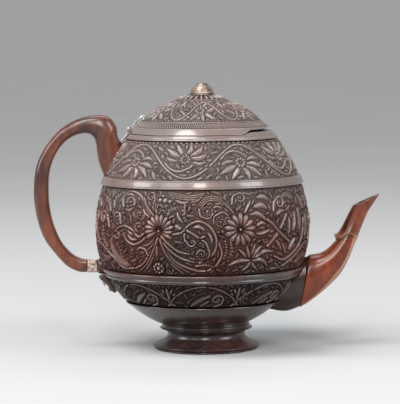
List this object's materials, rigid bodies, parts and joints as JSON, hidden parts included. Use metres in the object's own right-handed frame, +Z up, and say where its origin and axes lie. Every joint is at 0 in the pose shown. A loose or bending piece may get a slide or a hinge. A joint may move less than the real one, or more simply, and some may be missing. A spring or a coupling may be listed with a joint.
{
  "type": "carved coconut teapot",
  "caption": "Egg-shaped coconut-shell teapot with carved foliage bands, wooden loop handle, curved spout, turned foot and a hinged domed lid with a bud knob.",
  "frame": {"origin": "centre of the flat underside of the foot, on the surface the teapot stands on", "axes": "+Z up along the foot's axis, +X towards the spout, -X towards the handle, -Y towards the viewer"},
  "size_m": [0.1879, 0.1172, 0.1444],
  "materials": {
    "shell_wood": "polished carved shell, dark in the grooves",
    "red_wood": "polished reddish hardwood",
    "dark_wood": "satin dark hardwood",
    "bone": "aged pale bone",
    "brass": "worn pale brass",
    "silver": "worn silver"
  },
  "bodies": {
    "pot": {"shell_body": "shell_wood", "foot": "shell_wood", "foot_peg": "dark_wood", "handle": "red_wood", "handle_peg_upper": "dark_wood", "handle_peg_lower": "dark_wood", "handle_ferrule": "bone", "ferrule_pin": "silver", "handle_collar": "dark_wood", "handle_tail_plate": "dark_wood", "tail_rivet_upper": "silver", "tail_rivet_lower": "silver", "spout": "red_wood", "spout_peg_upper": "dark_wood", "spout_peg_lower": "dark_wood", "hinge_fixed_leaf": "silver", "hinge_pin": "silver", "hinge_fixed_rivet_front": "silver", "hinge_fixed_rivet_back": "silver"},
    "lid": {"lid_shell": "shell_wood", "knob": "brass", "knob_washer": "brass", "knob_burr": "brass", "hinge_lid_leaf": "silver", "hinge_lid_rivet_lower": "silver", "hinge_lid_rivet_upper": "silver"}
  },
  "joints": [
    {"name": "lid_hinge", "type": "hinge", "parent": "pot", "child": "lid", "pos_m": [-0.041, 0, 0.1197], "axis": [0, -1, 0], "range_deg": [0, 95]}
  ]
}
